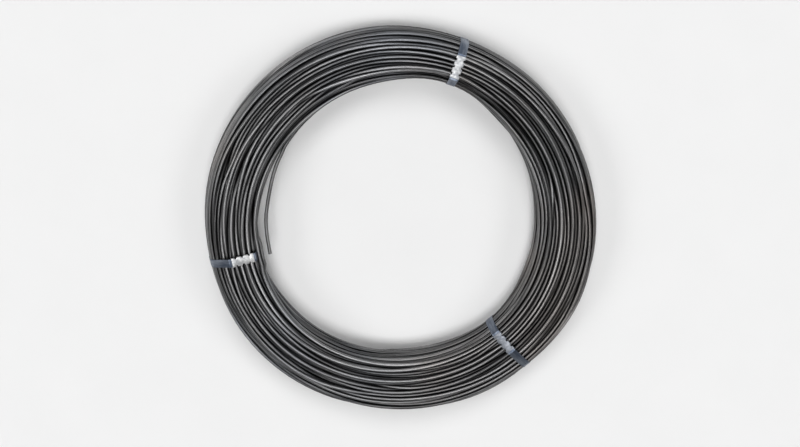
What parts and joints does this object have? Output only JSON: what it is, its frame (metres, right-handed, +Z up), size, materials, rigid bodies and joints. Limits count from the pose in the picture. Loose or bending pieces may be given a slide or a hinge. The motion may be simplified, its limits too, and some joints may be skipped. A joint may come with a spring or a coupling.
{
  "type": "coil of wire rod",
  "caption": "Coil of dark steel wire rod wound into a ring and held by crimped steel ties, lying flat, with a wide bore for a lifting hook, mandrel or pay-off stand.",
  "frame": {"origin": "middle of the bore, at the level of the floor that the coil lies on", "axes": "+Z up along the coil's axis; the turns run round Z, and the ties lie across them in planes through Z"},
  "size_m": [0.5948, 0.6068, 0.0888],
  "materials": {
    "wire": "dark annealed scale, satin",
    "strap": "blued strapping, satin",
    "seal": "galvanised, bright"
  },
  "bodies": {
    "root": {"wire_coil": "wire", "tie_strap_1": "strap", "tie_strap_2": "strap", "tie_strap_3": "strap", "tie_seal_1": "seal", "tie_seal_2": "seal", "tie_seal_3": "seal"}
  },
  "joints": []
}
